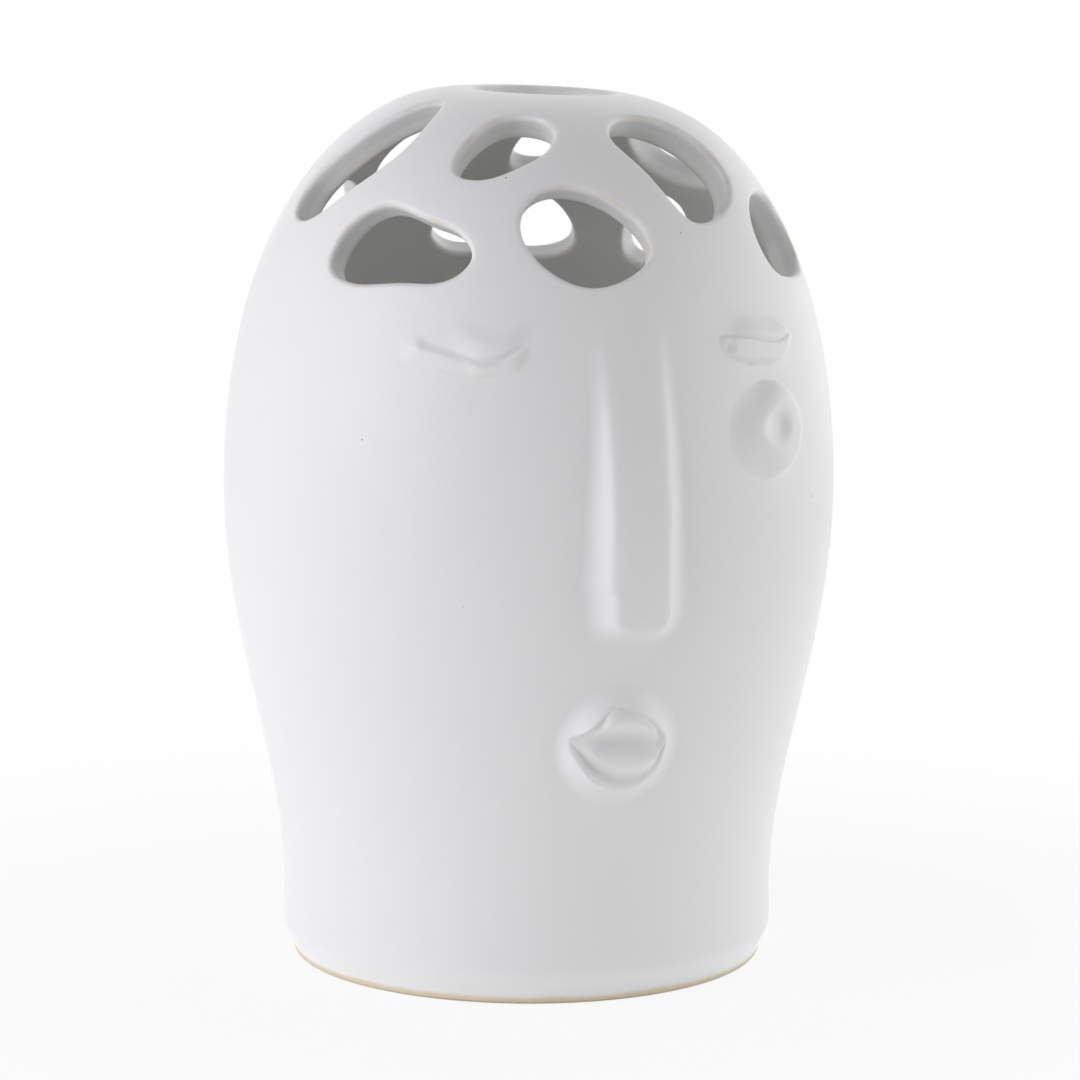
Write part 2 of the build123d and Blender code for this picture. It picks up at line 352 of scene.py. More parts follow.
def unrolled(line):
    """A dome's meridian from the axis to the belly, with the distance of each point along it."""
    dome = line[np.argmax(line[:, 0]):][::-1]
    steps = np.linalg.norm(np.diff(dome, axis=0), axis=1)
    return dome, np.concatenate([[0.0], np.cumsum(steps)])


def flattened(line, points):
    """Points of a dome laid flat, each with its own direction from the axis and distance along the dome."""
    dome, along = unrolled(line)
    radius = np.hypot(points[:, 0], points[:, 1])
    return points[:, :2] * (np.interp(radius, dome[:, 0], along) / radius)[:, None]


def raised(line, flat):
    """Points of the flat chart put back on the dome."""
    dome, along = unrolled(line)
    distance = np.hypot(flat[:, 0], flat[:, 1])
    radius = np.interp(distance, along, dome[:, 0])
    height = np.interp(distance, along, dome[:, 1])
    return np.column_stack([flat * (radius / distance)[:, None], height])


def closed_curve(outline, count):
    """Evenly spaced points on the smooth closed curve through an outline, and the normals out of it."""
    p = np.array(outline, float)
    after = np.linalg.norm(np.roll(p, -1, axis=0) - p, axis=1)
    before = np.roll(after, 1)
    bends = np.diag(2 * (before + after))
    bends += np.diag(after[1:], -1) + np.diag(before[:-1], 1)
    bends[0, -1] += after[0]
    bends[-1, 0] += before[-1]
    pulls = (after / before)[:, None] * (p - np.roll(p, 1, axis=0))
    pulls += (before / after)[:, None] * (np.roll(p, -1, axis=0) - p)
    slopes = np.linalg.solve(bends, 3 * pulls)
    spans = []
    for i in range(len(p)):
        j = (i + 1) % len(p)
        first = p[i] + slopes[i] * after[i] / 3
        second = p[j] - slopes[j] * after[i] / 3
        spans.append(pulled_curve(p[i], first, second, p[j], span_points + 1)[:-1])
    fine = np.vstack(spans + [p[:1]])
    walked = np.concatenate([[0.0], np.cumsum(np.linalg.norm(np.diff(fine, axis=0), axis=1))])
    marks = np.linspace(0.0, walked[-1], count, endpoint=False)
    even = np.column_stack([np.interp(marks, walked, fine[:, k]) for k in (0, 1)])
    heading = np.roll(even, -1, axis=0) - np.roll(even, 1, axis=0)
    heading /= np.linalg.norm(heading, axis=1)[:, None]
    area = np.sum(even[:, 0] * np.roll(even[:, 1], -1) - even[:, 1] * np.roll(even[:, 0], -1))
    return even, np.column_stack([heading[:, 1], -heading[:, 0]]) * math.copysign(1.0, area)


def drop_onto(line, points, out):
    """Slides points along a direction until they lie on the form that a meridian turns."""
    high = np.full(len(points), drop_reach)
    low = np.full(len(points), -drop_reach)
    for _ in range(drop_halvings):
        middle = (high + low) / 2
        trial = points + middle[:, None] * out
        free = np.hypot(trial[:, 0], trial[:, 1]) > radius_at(line, trial[:, 2])
        high = np.where(free, middle, high)
        low = np.where(free, low, middle)
    return points + high[:, None] * out


crown_points = []
crown_faces = []
crown_thin = []


def add_points(points, buff_and_shade=0.0):
    """Adds points to the crown and gives their numbers."""
    start = sum(len(p) for p in crown_points)
    crown_points.append(np.asarray(points))
    crown_thin.append(np.full(len(points), buff_and_shade))
    return np.arange(start, start + len(points))


def add_band(first, second):
    """Joins two closed rings of points with a band of faces."""
    for i in range(len(first)):
        j = (i + 1) % len(first)
        crown_faces.append((first[i], first[j], second[j], second[i]))


def pierce(origin, right, up, outline, normals, rounding, marking):
    """Makes the round rim and the throat of one opening, and gives its loops on the two skins."""
    out = np.cross(right, up)
    flat = origin + outline[:, :1] * right + outline[:, 1:] * up
    away = normals[:, :1] * right + normals[:, 1:] * up
    lip = drop_onto(outer_line, flat, out)
    skin = drop_onto(outer_line, flat + away * rounding, out)
    sill = drop_onto(inner_line, flat, out)
    cellar = drop_onto(inner_line, flat + away * inner_rim_rounding, out)
    top = lip - out * rounding
    bottom = sill + out * inner_rim_rounding
    rings = quarter_round(lip, skin, top, rim_steps)
    rings += [top + (bottom - top) * k / throat_steps for k in range(1, throat_steps)]
    rings += quarter_round(sill, bottom, cellar, rim_steps - 2)
    numbers = []
    for k, ring in enumerate(rings):
        turned = min(k / rim_steps, 1.0)
        numbers.append(add_points(ring, marking * math.sin(math.pi * turned) ** 4))
    for first, second in zip(numbers, numbers[1:]):
        add_band(first, second)
    return numbers[0], numbers[-1]


outer_loops = []
inner_loops = []
dome, along = unrolled(outer_line)
for outline, drop, bearing in stem_holes:
    ring, normals = closed_curve(np.array(outline) * mm, rim_points)
    distance = crown_flat + drop * mm
    radius = np.interp(distance, along, dome[:, 0])
    height = np.interp(distance, along, dome[:, 1])
    rise = [np.interp(distance - s, along, dome[:, k]) for k in (0, 1) for s in (mm, -mm)]
    slope = np.array([rise[0] - rise[1], rise[2] - rise[3]])
    slope /= np.linalg.norm(slope)
    turn = math.radians(bearing)
    outwards = np.array([math.sin(turn), -math.cos(turn), 0.0])
    right = np.array([math.cos(turn), math.sin(turn), 0.0])
    up = outwards * slope[0] + np.array([0.0, 0.0, slope[1]])
    middle = outwards * radius + np.array([0.0, 0.0, height])
    loops = pierce(middle, right, up, ring - normals * rim_settle, normals, rim_rounding, rim_wear)
    outer_loops.append(loops[0])
    inner_loops.append(loops[1])

turns = np.linspace(0.0, math.tau, rim_points, endpoint=False)
circle = np.column_stack([np.cos(turns), np.sin(turns)])
mouth_ring = circle * mouth_radius
mouth_middle = np.array([mouth_offset, 0.0, total_height])
east, north = np.eye(3)[:2]
loops = pierce(mouth_middle, east, north, mouth_ring, circle, mouth_rounding, mouth_wear)
outer_loops.append(loops[0])
inner_loops.append(loops[1])


def inside_loop(loop, points):
    """Which points of the chart lie inside a closed loop."""
    hit = np.zeros(len(points), bool)
    for (x0, y0), (x1, y1) in zip(loop, np.roll(loop, -1, axis=0)):
        crosses = (y0 > points[:, 1]) != (y1 > points[:, 1])
        reach = (x1 - x0) * (points[:, 1] - y0) / (y1 - y0 + 1e-15) + x0
        hit ^= crosses & (points[:, 0] < reach)
    return hit


def fill_web(line, loops, outwards):
    """Fills a skin of the dome with small triangles between its openings and the seam."""
    known = np.vstack(crown_points)
    flat_loops = [flattened(line, known[loop]) for loop in loops]
    dome, along = unrolled(line)
    seam_distance = np.interp(-seam_height, -dome[:, 1], along)
    angles = np.linspace(0.0, math.tau, around, endpoint=False)
    seam_flat = seam_distance * np.column_stack([np.cos(angles), np.sin(angles)])
    seam = add_points(raised(line, seam_flat))
    rows = []
    for k, distance in enumerate(np.arange(web_cell, seam_distance - web_clear, web_cell)):
        girth = math.tau * np.interp(distance, along, dome[:, 0])
        count = max(6, round(girth / web_cell))
        angles = (np.arange(count) + 0.5 * (k % 2)) * math.tau / count
        rows.append(distance * np.column_stack([np.cos(angles), np.sin(angles)]))
    scatter = np.vstack(rows)
    keep = np.ones(len(scatter), bool)
    for loop in flat_loops:
        gap = np.linalg.norm(scatter[:, None] - loop[None], axis=2).min(axis=1)
        keep &= (gap > web_clear) & ~inside_loop(loop, scatter)
    scatter = scatter[keep]
    numbers = np.concatenate(loops + [seam, add_points(raised(line, scatter))])
    flat = np.vstack(flat_loops + [seam_flat, scatter])
    edges = []
    start = 0
    for loop in loops + [seam]:
        edges += [(start + i, start + (i + 1) % len(loop)) for i in range(len(loop))]
        start += len(loop)
    chart = [Vector(p / mm) for p in flat]
    found = delaunay_2d_cdt(chart, edges, [], 0, 1e-6)
    source = [own[0] for own in found[3]]
    corners = np.array([[source[i] for i in face] for face in found[2]])
    centres = flat[corners].mean(axis=1)
    open_air = np.zeros(len(corners), bool)
    for loop in flat_loops:
        open_air |= inside_loop(loop, centres)
    for face in corners[~open_air]:
        face = face if outwards else face[::-1]
        crown_faces.append(tuple(numbers[face]))


fill_web(outer_line, outer_loops, True)
fill_web(inner_line, inner_loops, False)
crown_mesh = bpy.data.meshes.new("pierced_crown")
crown_skin = np.vstack(crown_points)
from_axis = np.hypot(crown_skin[:, 0], crown_skin[:, 1])
near_mouth = np.clip((mouth_tilt_reach - from_axis) / mouth_tilt_fade, 0.0, 1.0)
tilted = near_mouth**2 * (3 - 2 * near_mouth)
crown_skin[:, 2] -= mouth_tilt * (crown_skin[:, :2] @ mouth_low_side) * tilted
crown_mesh.from_pydata(crown_skin.tolist(), [], [tuple(map(int, f)) for f in crown_faces])
buff_and_painted_shade = crown_mesh.attributes.new("buff_and_painted_shade", "FLOAT", "POINT")
buff_and_painted_shade.data.foreach_set("value", np.concatenate(crown_thin).astype(np.float32))
crown = bpy.data.objects.new("pierced_crown", crown_mesh)
bpy.context.collection.objects.link(crown)
bpy.ops.object.select_all(action="DESELECT")
vessel.select_set(True)
crown.select_set(True)
bpy.context.view_layer.objects.active = vessel
bpy.ops.object.join()
bpy.ops.object.mode_set(mode="EDIT")
bpy.ops.mesh.select_all(action="SELECT")
bpy.ops.mesh.remove_doubles(threshold=merge_distance)
bpy.ops.mesh.normals_make_consistent(inside=False)
bpy.ops.object.mode_set(mode="OBJECT")
bpy.ops.object.shade_smooth_by_angle(angle=math.radians(50))
skin = np.empty(len(vessel.data.vertices) * 3)
vessel.data.vertices.foreach_get("co", skin)
skin = skin.reshape(-1, 3)
# The inner skin is marked for the painted light inside.
skin_inside = np.hypot(skin[:, 0], skin[:, 1]) < radius_at(meridian(-wall / 2), skin[:, 2])
lit_inside = vessel.data.attributes.new("lit_inside", "FLOAT", "POINT")
lit_inside.data.foreach_set("value", skin_inside.astype(np.float32))
vessel.data.materials.clear()
vessel.data.materials.append(glaze)
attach(vessel, "root")
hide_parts("body_wall", "crown")

# Floor
# A rolled disc of the same clay, luted into the rebate at the bottom of the wall and glazed on its upper
# side, with a shallow spiral of finger marks that shows through the mouth.
floor_rings = 14
floor_wave = 0.25 * mm
floor_cove = 2.0 * mm
bpy.ops.object.select_all(action="DESELECT")
bpy.ops.mesh.primitive_cylinder_add(
    vertices=around,
    radius=floor_radius,
    depth=floor_high.z - floor_low.z,
    location=(0.0, 0.0, (floor_high.z + floor_low.z) / 2),
)
floor_disc = bpy.context.object
floor_disc.name = "glazed_floor"
bpy.ops.object.transform_apply(location=True, rotation=True, scale=True)
for face in floor_disc.data.polygons:
    face.select = face.normal.z > 0.9
bpy.ops.object.mode_set(mode="EDIT")
bpy.ops.mesh.select_mode(type="FACE")
bpy.ops.mesh.inset(thickness=floor_radius - radius_at(inner_line, floor_high.z) + floor_cove, depth=0.0)
for k in range(floor_rings):
    bpy.ops.mesh.inset(thickness=0.9 * floor_radius / floor_rings, depth=floor_wave * (-1) ** k)
bpy.ops.object.mode_set(mode="OBJECT")
bpy.ops.object.shade_smooth_by_angle(angle=math.radians(40))
# The floor lies inside the vase, so it takes the painted light too.
lit_inside = floor_disc.data.attributes.new("lit_inside", "FLOAT", "POINT")
lit_inside.data.foreach_set("value", np.ones(len(floor_disc.data.vertices), np.float32))
floor_disc.data.materials.append(glaze)
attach(floor_disc, "root")
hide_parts("floor_slab")

# Foot ring
# The ring that the vase stands on, turned from the same clay, wiped clean of glaze and sanded after
# firing, so its fine buff grain shows as a thin line all round.
clay_light = (0.80, 0.71, 0.54, 1.0)
clay_dark = (0.68, 0.58, 0.42, 1.0)
glaze_line = 1.6 * mm
glaze_line_wander = 0.5 * mm
glaze_line_softness = 0.4 * mm
foot_width = 9.0 * mm
foot_rounding = 1.2 * mm
foot_inner = foot_outer - foot_width
foot_chain = [(foot_outer, foot_high.z)]
foot_chain += quarter_round(
    (foot_outer, 0.0), (foot_outer, foot_rounding), (foot_outer - foot_rounding, 0.0), rounding_steps
)
foot_chain += quarter_round(
    (foot_inner, 0.0), (foot_inner + foot_rounding, 0.0), (foot_inner, foot_rounding), rounding_steps
)
foot_chain += [(foot_inner, foot_high.z), (foot_outer, foot_high.z)]
foot = turn_on_wheel("bare_foot_ring", [(float(r), float(z)) for r, z in foot_chain])
bpy.ops.object.shade_smooth_by_angle(angle=math.radians(50))

clay = bpy.data.materials.new("bare_stoneware")
clay.use_nodes = True
nodes = clay.node_tree.nodes
links = clay.node_tree.links
clay_shader = nodes["Principled BSDF"]
clay_shader.inputs["Roughness"].default_value = 0.85
place = nodes.new("ShaderNodeTexCoord")
grain = nodes.new("ShaderNodeTexNoise")
grain.inputs["Scale"].default_value = 900.0
grain.inputs["Detail"].default_value = 4.0
links.new(place.outputs["Object"], grain.inputs["Vector"])
clay_colour = nodes.new("ShaderNodeMix")
clay_colour.data_type = "RGBA"
clay_colour.inputs["A"].default_value = clay_dark
clay_colour.inputs["B"].default_value = clay_light
links.new(grain.outputs["Fac"], clay_colour.inputs["Factor"])
level = nodes.new("ShaderNodeSeparateXYZ")
links.new(place.outputs["Object"], level.inputs["Vector"])
wander = nodes.new("ShaderNodeTexNoise")
wander.inputs["Scale"].default_value = 60.0
wander.inputs["Detail"].default_value = 2.0
links.new(place.outputs["Object"], wander.inputs["Vector"])
wandering = nodes.new("ShaderNodeMath")
wandering.operation = "MULTIPLY_ADD"
wandering.inputs[1].default_value = 2 * glaze_line_wander
links.new(wander.outputs["Fac"], wandering.inputs[0])
links.new(level.outputs["Z"], wandering.inputs[2])
wiped = nodes.new("ShaderNodeMapRange")
wiped.inputs["From Min"].default_value = glaze_line + glaze_line_wander - glaze_line_softness
wiped.inputs["From Max"].default_value = glaze_line + glaze_line_wander + glaze_line_softness
links.new(wandering.outputs["Value"], wiped.inputs["Value"])
foot_colour = nodes.new("ShaderNodeMix")
foot_colour.data_type = "RGBA"
foot_colour.inputs["B"].default_value = glaze_white
links.new(wiped.outputs["Result"], foot_colour.inputs["Factor"])
links.new(clay_colour.outputs["Result"], foot_colour.inputs["A"])
links.new(foot_colour.outputs["Result"], clay_shader.inputs["Base Color"])
clay_tooth = nodes.new("ShaderNodeBump")
clay_tooth.inputs["Strength"].default_value = 0.4
clay_tooth.inputs["Distance"].default_value = 0.0002
links.new(grain.outputs["Fac"], clay_tooth.inputs["Height"])
links.new(clay_tooth.outputs["Normal"], clay_shader.inputs["Normal"])
foot.data.materials.append(clay)
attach(foot, "root")
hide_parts("foot_ring")

# Nose
# A slab of clay luted on below the brow, flush at its top and proud at its lower end. Its front is flat
# with crisp edges, a small dent near its lower left corner, and flanks smoothed down into the wall.
sprig_cell = 0.3 * mm
sprig_bed = 0.8 * mm
sprig_tuck = 0.03 * mm
probe = 0.5 * mm
nose_half = 6.5
nose_tip = 87.3
nose_corner = 4.0
nose_crest = 0.9
nose_flank_top = 4.6
nose_flank_bottom = 7.2
nose_flank_end = 5.0
nose_proud = 4.5
nose_full = 104.0
nose_brow = 157.0
nose_dent_height = 95.3
nose_dent = 1.1
nose_flank_curve = 2.8
nose_wear = 0.25


def lay_on_wall(bearing, across, up):
    """Points of the outer wall beside a bearing, at a height, and the directions straight out of it."""
    radius = wall_radius(up)
    turn = math.radians(bearing) + np.arcsin(across / radius)
    lean = (wall_radius(up + probe) - wall_radius(up - probe)) / (2 * probe)
    out = np.column_stack([np.sin(turn), -np.cos(turn), -lean])
    out /= np.linalg.norm(out, axis=1)[:, None]
    return np.column_stack([radius * np.sin(turn), -radius * np.cos(turn), up]), out


def press_sprig(name, node, bearing, across, up, relief):
    """Lays a sheet of clay on the wall, raises it to a relief in millimetres and beds it into the wall."""
    width = (across[1] - across[0]) * mm
    height = (up[1] - up[0]) * mm
    bpy.ops.object.select_all(action="DESELECT")
    bpy.ops.mesh.primitive_grid_add(
        x_subdivisions=round(width / sprig_cell), y_subdivisions=round(height / sprig_cell), size=1.0
    )
    piece = bpy.context.object
    piece.name = name
    grid = np.empty(len(piece.data.vertices) * 3)
    piece.data.vertices.foreach_get("co", grid)
    grid = grid.reshape(-1, 3)
    aside = grid[:, 0] * width + (across[0] + across[1]) / 2 * mm
    level = grid[:, 1] * height + (up[0] + up[1]) / 2 * mm
    points, out = lay_on_wall(bearing, aside, level)
    # Each relief also gives its marks: buff where the glaze breaks, and painted shade where they are
    # negative.
    lift, buff_and_shade = relief(aside / mm, level / mm)
    points += out * (lift * mm - sprig_tuck)[:, None]
    piece.data.vertices.foreach_set("co", points.ravel())
    marking = piece.data.attributes.new("buff_and_painted_shade", "FLOAT", "POINT")
    marking.data.foreach_set("value", buff_and_shade.astype(np.float32))
    bedding = piece.modifiers.new("bedding", "SOLIDIFY")
    bedding.thickness = sprig_bed
    bedding.offset = -1.0
    bpy.ops.object.modifier_apply(modifier="bedding")
    bpy.ops.object.shade_smooth()
    piece.data.materials.append(glaze)
    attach(piece, "root")
    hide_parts(node)


def eased(value, start, end):
    """A smooth step from 0 at start to 1 at end."""
    share = np.clip((value - start) / (end - start), 0.0, 1.0)
    return share**3 * (share * (6 * share - 15) + 10)


def past(distance, softness):
    """Distance past an edge, with the edge itself softened."""
    return (distance + np.sqrt(distance**2 + softness**2)) / 2


def nose_relief(u, z):
    """The flat front, its flanks and its slope up to the brow."""
    dent = nose_dent * (1 - eased(z, nose_dent_height - 1.0, nose_dent_height + 2.5)) * (u < 0)
    side = np.maximum(np.abs(u) + dent - (nose_half - nose_corner), -nose_corner)
    below = nose_tip + nose_corner - z
    reach = np.hypot(np.maximum(side, 0), np.maximum(below, 0))
    outside = reach + np.minimum(np.maximum(side, below), 0) - nose_corner
    sideways = (np.maximum(side, 0) / np.maximum(reach, 1e-6)) ** 2
    flank = np.interp(z, [90.0, 142.0], [nose_flank_bottom, nose_flank_top])
    flank = nose_flank_end + (flank - nose_flank_end) * sideways
    fall = np.clip(1 - past(outside, nose_crest) / flank, 0.0, 1.0) ** nose_flank_curve
    share = np.clip((nose_brow - z) / (nose_brow - nose_full), 0.0, 1.0)
    proud = nose_proud * (1 - (1 - share**1.5) ** 2)
    glaze_marks = np.exp(-((outside / 0.6) ** 2)) * eased(proud, 0.5, 2.5)
    return proud * fall, nose_wear * glaze_marks * eased(u, -6.0, 4.0)


press_sprig("nose_slab", "nose", 0.0, (-14.6, 14.6), (82.0, 158.5), nose_relief)

# Eyelids
# Two closed eyes: crescents of clay pressed on either side of the nose with their tips up, each under a
# soft fold. The crease between them is cut with a tool, which left a pit at one corner.
lid_proud = 0.9
rim_proud = 0.35
knob_proud = 0.5
fold_proud = 1.2
right_lid_proud = 1.4
right_end = 11.2
right_end_rounding = 4.2
crease_depth = 0.6
pit_depth = 1.2
left_crease = (
    [-13.0, -8.0, -4.0, -0.5, 2.4, 5.4, 8.0, 11.0],
    [149.4, 148.5, 147.6, 146.7, 146.1, 146.3, 147.3, 149.2],
)
left_hem = ([-14.0, -9.1, -3.5, 4.2, 10.6, 14.0], [148.4, 144.6, 143.1, 143.1, 145.1, 148.3])
right_crease = (
    [-13.1, -10.1, -5.0, -0.5, 3.5, 8.1, 11.0],
    [149.5, 149.6, 149.1, 148.2, 147.8, 148.4, 149.5],
)
right_hem = (
    [-14.0, -11.2, -7.5, -2.0, 4.1, 8.8, 10.6],
    [147.6, 145.4, 143.9, 143.5, 143.1, 144.9, 147.0],
)
corner_pit = (-12.0, 147.6)


def through(across, line):
    """A smooth line through a few points, given as where they lie across and up."""
    places, ups = (np.array(values) for values in line)
    slopes = np.gradient(ups, places)
    k = np.clip(np.searchsorted(places, across) - 1, 0, len(places) - 2)
    gap = places[k + 1] - places[k]
    t = np.clip((across - places[k]) / gap, 0.0, 1.0)
    start = (1 + 2 * t) * (1 - t) ** 2 * ups[k] + t * (1 - t) ** 2 * gap * slopes[k]
    return start + t**2 * (3 - 2 * t) * ups[k + 1] - t**2 * (1 - t) * gap * slopes[k + 1]


def dab(u, z, middle, half_width, half_height):
    """A soft round touch, 1 at its middle."""
    return np.exp(-(((u - middle[0]) / half_width) ** 2) - ((z - middle[1]) / half_height) ** 2)


def left_lid_relief(u, z):
    """A thin crescent, rolled to a rim and a knob at its left, creased under a soft fold at its right."""
    above = z - through(u, left_crease)
    over = z - through(u, left_hem)
    creased = eased(u, -3.0, 3.0)
    ends = eased(u, -14.2, -11.0) * (1 - eased(u, 8.5, 14.0))
    soft_edge = 0.25 * (1 - creased) * (1 - eased(above, -1.7, 1.7))
    cut_edge = lid_proud * creased * (1 - eased(above, -1.9, 0.5))
    lid = (soft_edge + cut_edge) * eased(over, -1.8, 2.4) * ends
    rim = np.exp(-(((above + 1.2) / 1.0) ** 2)) * eased(u, -13.8, -11.4) * (1 - eased(u, -8.0, -1.0))
    knob = dab(u, z, (-13.2, 148.2), 2.0, 2.2)
    fold = eased(above, -0.1, 1.6) * (1 - eased(above, 1.6, 8.5))
    fold *= eased(u, -9.0, 6.0) * (1 - eased(u, 5.0, 14.0))
    buff_and_shade = 0.15 * np.exp(-((over / 0.6) ** 2)) * ends + 0.35 * dab(u, z, (9.6, 146.6), 1.8, 1.6)
    # Painted shade: a dark band painted along the crease on the right half of the lid.
    buff_and_shade -= 0.3 * np.exp(-(((above - 0.2) / 0.9) ** 2)) * eased(u, 0.0, 6.0) * (1 - eased(u, 8.0, 11.5))
    return lid + rim_proud * rim + knob_proud * knob + fold_proud * fold, buff_and_shade


def right_lid_relief(u, z):
    """A half moon with a thin crease along its top, a pit at its inner corner and a crisp outer end."""
    above = z - through(u, right_crease)
    over = z - through(u, right_hem)
    end = right_end - 4.0 * ((z - 148.0) / 4.2) ** 2
    turned = np.clip((u - end) / right_end_rounding + 1, 0.0, 1.0)
    span = eased(u, -14.6, -11.8) * np.sqrt(1 - turned**2)
    fold = 1 - (1 - eased(u, -12.0, -2.0)) * eased(above, -0.3, 0.7)
    lid = eased(over, -0.9, 1.3) * (1 - eased(above, 0.2, 7.0)) * fold * span
    crease = np.exp(-((above / 0.4) ** 2)) * eased(u, -13.0, -10.5) * (1 - eased(u, 8.0, 10.5))
    pit = dab(u, z, corner_pit, 1.0, 1.0)
    buff_and_shade = 0.3 * np.exp(-((over / 0.6) ** 2)) * eased(u, -14.0, -11.0) * (1 - eased(u, 8.0, 10.5))
    return right_lid_proud * lid - crease_depth * crease - pit_depth * pit, buff_and_shade


press_sprig("left_closed_eyelid", "left_eyelid", -30.3, (-16.5, 16.5), (139.5, 158.0), left_lid_relief)
press_sprig("right_closed_eyelid", "right_eyelid", 31.8, (-16.5, 14.0), (140.5, 158.0), right_lid_relief)

# Button eye
# An oval button of clay pressed on below the right eyelid, with a dimple pressed into it by a fingertip.
# Its outer edge is crisp, and the edge towards the nose is smeared down into the wall.
button_middle = (-0.9, 128.6)
button_half = 12.3
button_rise = 10.9
button_proud = 2.7
button_rounding = 3.8
button_smear = 9.0
button_crisp = 3.6
dimple_middle = (1.0, 129.3)
dimple_near = 6.6
dimple_far = 4.2
dimple_rise = 4.4
dimple_depth = 1.3


def button_relief(u, z):
    """A low round button, smeared out to its left, with a dimple to the right of its middle."""
    aside = u - button_middle[0]
    v = z - button_middle[1]
    outside = (np.hypot(aside / button_half, v / button_rise) - 1) * (button_half + button_rise) / 2
    crisp = eased(aside, -6.0, 8.0)
    flank = button_smear - (button_smear - button_crisp) * crisp
    share = np.clip((outside + flank) / (flank + 0.6), 0.0, 1.0)
    smeared = 1 - share**2 * (3 - 2 * share)
    turned = np.clip(outside / button_rounding + 1, 0.0, 1.0)
    fall = (1 - crisp) * smeared + crisp * np.sqrt(1 - turned**2)
    dimple_half = np.where(u < dimple_middle[0], dimple_near, dimple_far)
    inside = np.hypot((u - dimple_middle[0]) / dimple_half, (z - dimple_middle[1]) / dimple_rise)
    dimple = dimple_depth * (1 - eased(inside, 0.0, 1.15))
    return button_proud * fall - dimple, 0.1 * eased(outside, -4.0, -1.0) * crisp


press_sprig("right_button_eye", "right_eye", 30.5, (-16.0, 14.0), (115.5, 141.5), button_relief)

# Mouth
# A round boss of clay smoothed into the wall, with two lips laid in an almond-shaped hollow in it. The
# line over the upper lip is crisp, the parting is soft, and a groove runs round the lower lip.
mouth_bearing = -1.3
boss_height = 60.8
boss_crown = 7.0
boss_shoulder = 9.5
boss_reach = 14.8
boss_rise = 3.4
boss_lean = (-0.020, 0.014)
parting_level = 1.2
lip_roll = 1.7
lip_bow = (
    [-11.3, -8.6, -5.3, -3.0, -1.6, 0.9, 3.8, 6.6, 8.6, 10.6],
    [2.2, 3.4, 6.8, 9.2, 9.8, 9.1, 7.8, 5.6, 3.2, 1.2],
)
lip_bowl = (
    [-11.3, -9.5, -7.5, -4.8, -1.2, 2.4, 6.4, 8.9, 10.6],
    [1.8, -0.1, -2.7, -5.4, -7.5, -8.0, -6.9, -4.6, 0.4],
)
parting = ([-11.3, 10.6], [2.0, 0.7])


def boss_mound(u, v):
    """The boss before the lips are formed, with a long foot, a round shoulder and a leaning cap."""
    reach = np.hypot(u - 0.3, v)
    foot = np.clip((boss_reach - reach) / (boss_reach - boss_shoulder), 0.0, 1.0)
    cap = np.clip((boss_shoulder - reach) / (boss_shoulder - boss_crown), 0.0, 1.0)
    slope = 2 * boss_rise / (boss_reach - boss_shoulder)
    height = boss_rise * foot**2 + slope * (boss_shoulder - boss_crown) / 2 * (1 - (1 - cap) ** 2)
    return height * (1 + boss_lean[0] * u + boss_lean[1] * v)


def mouth_form(u, v):
    """The boss with the lips pressed into it, rolled down to the parting and to a groove below."""
    mound = boss_mound(u, v)
    bow = through(u, lip_bow)
    bowl = through(u, lip_bowl)
    part = through(u, parting)
    up = np.clip((v - part) / np.maximum(bow - part, 0.3), 0.0, 1.0)
    down = np.clip((part - v) / np.maximum(part - bowl, 0.3), 0.0, 1.0)
    full = eased(bow - part, 0.5, 9.0 - 3.5 * eased(u, -4.0, 4.0))
    upper = parting_level + np.maximum(mound - 0.3 - parting_level, 0.0) * full * eased(up, 0.0, 0.8)
    lower = parting_level + lip_roll * eased(part - bowl, 2.0, 8.0) * np.sin(math.pi * down) ** 2
    pressed = past(mound - np.where(v > part, upper, lower), 0.2)
    pressed *= (1 - eased(v - bow, -0.5, 1.4)) * np.exp(-((np.maximum(bowl - v, 0.0) / 1.8) ** 2))
    line = 0.3 * np.exp(-(((v - bow) / 0.7) ** 2)) * eased(u, -10.0, -4.0) * (1 - eased(u, 4.0, 10.0))
    corners = eased(u, -12.8, -9.8) * (1 - eased(u, 8.8, 11.4))
    return mound - pressed * corners - line


def within_lips(u, v):
    """Distance inside the almond between the bow over the lips and the bowl under them."""
    ends = np.minimum(u - lip_bow[0][0], lip_bow[0][-1] - u)
    return np.minimum(np.minimum(through(u, lip_bow) - v, v - through(u, lip_bowl)), ends)


def lip_wear_and_shade(u, v):
    """Where the glaze thins along the bow and at the groove's right end, and painted shade along the
    parting and in the groove under the lips.
    """
    bow = np.exp(-(((v - through(u, lip_bow) + 0.3) / 0.7) ** 2))
    bow *= eased(u, -12.0, -9.0) * (1 - eased(u, 8.5, 10.6))
    across = eased(u, -11.0, -3.0) * (1 - eased(u, 3.0, 11.0))
    # Painted shade along the parting and in the groove under the lower lip, taken off the marks.
    painted_lip_shade = 0.5 * np.exp(-(((v - through(u, parting) + 0.6) / 2.4) ** 2)) * across**2
    painted_lip_shade += 0.3 * np.exp(-(((v - through(u, lip_bowl)) / 1.4) ** 2)) * across
    return 0.3 * bow + 0.25 * dab(u, v, (9.4, -2.5), 1.6, 3.0) - painted_lip_shade


def boss_relief(u, z):
    """The boss, sunk under the lips."""
    v = z - boss_height
    return mouth_form(u, v) - eased(within_lips(u, v), 0.0, 0.8), lip_wear_and_shade(u, v)


def upper_lip_relief(u, z):
    """The upper lip, down to the parting."""
    v = z - boss_height
    outside = np.maximum(-within_lips(u, v), through(u, parting) - v)
    return mouth_form(u, v) - eased(outside, 0.0, 0.8), lip_wear_and_shade(u, v)


